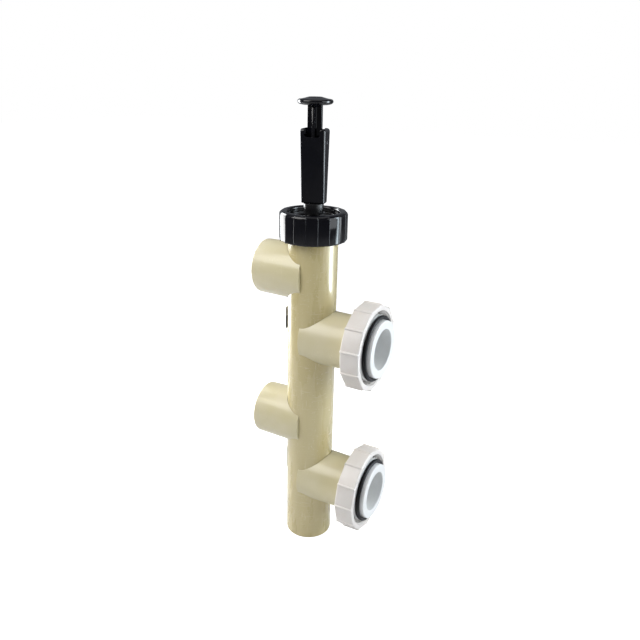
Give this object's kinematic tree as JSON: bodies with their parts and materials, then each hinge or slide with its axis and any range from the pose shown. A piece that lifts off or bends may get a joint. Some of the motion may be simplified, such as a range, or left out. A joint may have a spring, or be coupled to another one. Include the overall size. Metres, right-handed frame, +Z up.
{
  "type": "three way slide valve",
  "caption": "Push-pull slide valve: an upright tube with pipe sockets on one side, union ends on the other, an open foot and a piston stem worked by a pull handle.",
  "frame": {"origin": "centre of the lower filter union's mating face", "axes": "+Z up along the stem towards the handle, +X out of the filter unions"},
  "size_m": [0.1654, 0.1092, 0.5707],
  "materials": {
    "cream_pvc": "satin",
    "white_pvc": "satin",
    "black_abs": "gloss",
    "seal_rubber": "matt",
    "piston_nylon": "matt",
    "stainless_steel": "brushed",
    "label_film": "satin"
  },
  "bodies": {
    "valve_body": {"body_tube": "cream_pvc", "neck_ring": "cream_pvc", "return_hub": "cream_pvc", "pump_hub": "cream_pvc", "filter_hub_upper": "cream_pvc", "filter_hub_lower": "cream_pvc", "union_adapter_upper": "white_pvc", "union_adapter_lower": "white_pvc", "union_o_ring_upper": "seal_rubber", "union_o_ring_lower": "seal_rubber", "bonnet": "black_abs", "bonnet_o_ring": "seal_rubber", "stem_seal_lower": "seal_rubber", "stem_seal_upper": "seal_rubber", "lock_plate": "black_abs", "lock_screw_1": "stainless_steel", "lock_screw_2": "stainless_steel", "lock_screw_3": "stainless_steel", "label_upper": "label_film", "label_lower": "label_film"},
    "piston_set": {"piston_upper": "piston_nylon", "piston_lower": "piston_nylon", "piston_o_ring_1": "seal_rubber", "piston_o_ring_2": "seal_rubber", "piston_o_ring_3": "seal_rubber", "piston_o_ring_4": "seal_rubber", "spacer_tube": "piston_nylon"},
    "stem": {"stem_rod": "black_abs", "bayonet_collar": "black_abs", "stop_washer_lower": "stainless_steel", "stop_washer_upper": "stainless_steel", "end_nut": "stainless_steel", "handle_neck": "black_abs", "grip": "black_abs", "handle_rod": "black_abs", "cross_pin": "stainless_steel", "knob": "black_abs"},
    "bonnet_nut": {"bonnet_nut": "black_abs"},
    "union_nut_upper": {"union_nut_upper": "white_pvc"},
    "union_nut_lower": {"union_nut_lower": "white_pvc"}
  },
  "joints": [
    {"name": "stem_slide", "type": "slide", "parent": "valve_body", "child": "piston_set", "axis": [0, 0, 1], "range_m": [0, 0.09]},
    {"name": "handle_turn", "type": "hinge", "parent": "piston_set", "child": "stem", "pos_m": [-0.098, 0, 0.35], "axis": [0, 0, 1], "range_deg": [0, 90]},
    {"name": "bonnet_nut_turn", "type": "hinge", "parent": "valve_body", "child": "bonnet_nut", "pos_m": [-0.098, 0, 0.3376], "axis": [0, 0, 1], "range_deg": [0, 900]},
    {"name": "union_nut_upper_spin", "type": "hinge", "parent": "valve_body", "child": "union_nut_upper", "pos_m": [-0.0205, 0, 0.199], "axis": [1, 0, 0], "continuous": true},
    {"name": "union_nut_lower_spin", "type": "hinge", "parent": "valve_body", "child": "union_nut_lower", "pos_m": [-0.0205, 0, 0], "axis": [1, 0, 0], "continuous": true}
  ]
}
